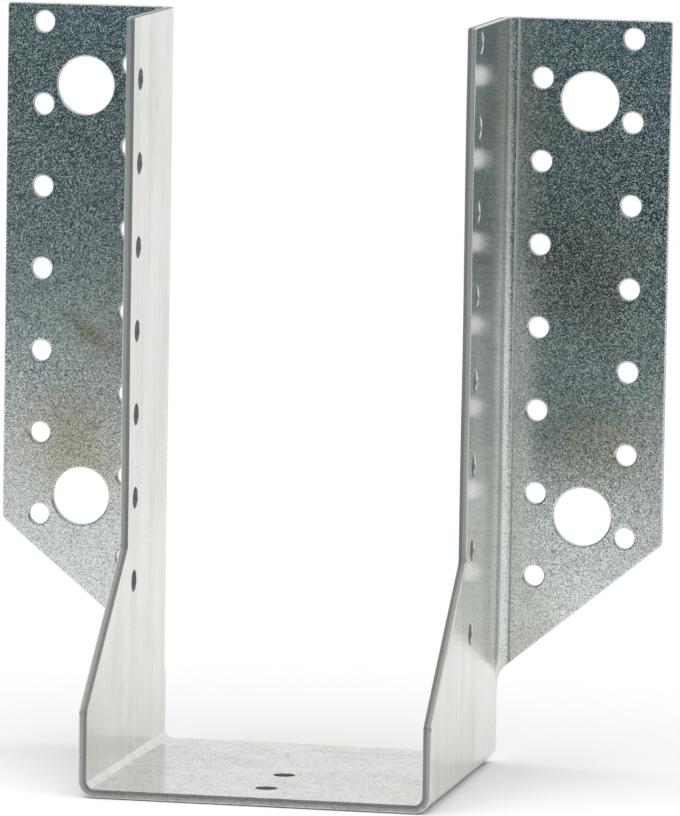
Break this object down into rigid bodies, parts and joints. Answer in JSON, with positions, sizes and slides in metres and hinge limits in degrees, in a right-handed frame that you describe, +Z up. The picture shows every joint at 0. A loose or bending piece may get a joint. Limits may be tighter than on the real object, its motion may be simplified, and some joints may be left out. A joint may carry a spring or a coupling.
{
  "type": "joist hanger",
  "caption": "Face-fixed U-shaped joist hanger: one folded, perforated galvanised sheet whose trough carries a joist end and whose outward flanges fix to a header beam.",
  "frame": {"origin": "on the seat's underside, midway across the width and midway between the seat's front and the flange backs", "axes": "+Z up along the walls, +Y towards the header beam that the flange backs lie on, +X to the right as seen from the joist's side"},
  "size_m": [0.1628, 0.084, 0.18],
  "materials": {
    "galvanised_steel": "continuously hot-dip galvanised, fine matt spangle with faint rolling marks"
  },
  "bodies": {
    "root": {"joist_hanger": "galvanised_steel"}
  },
  "joints": []
}
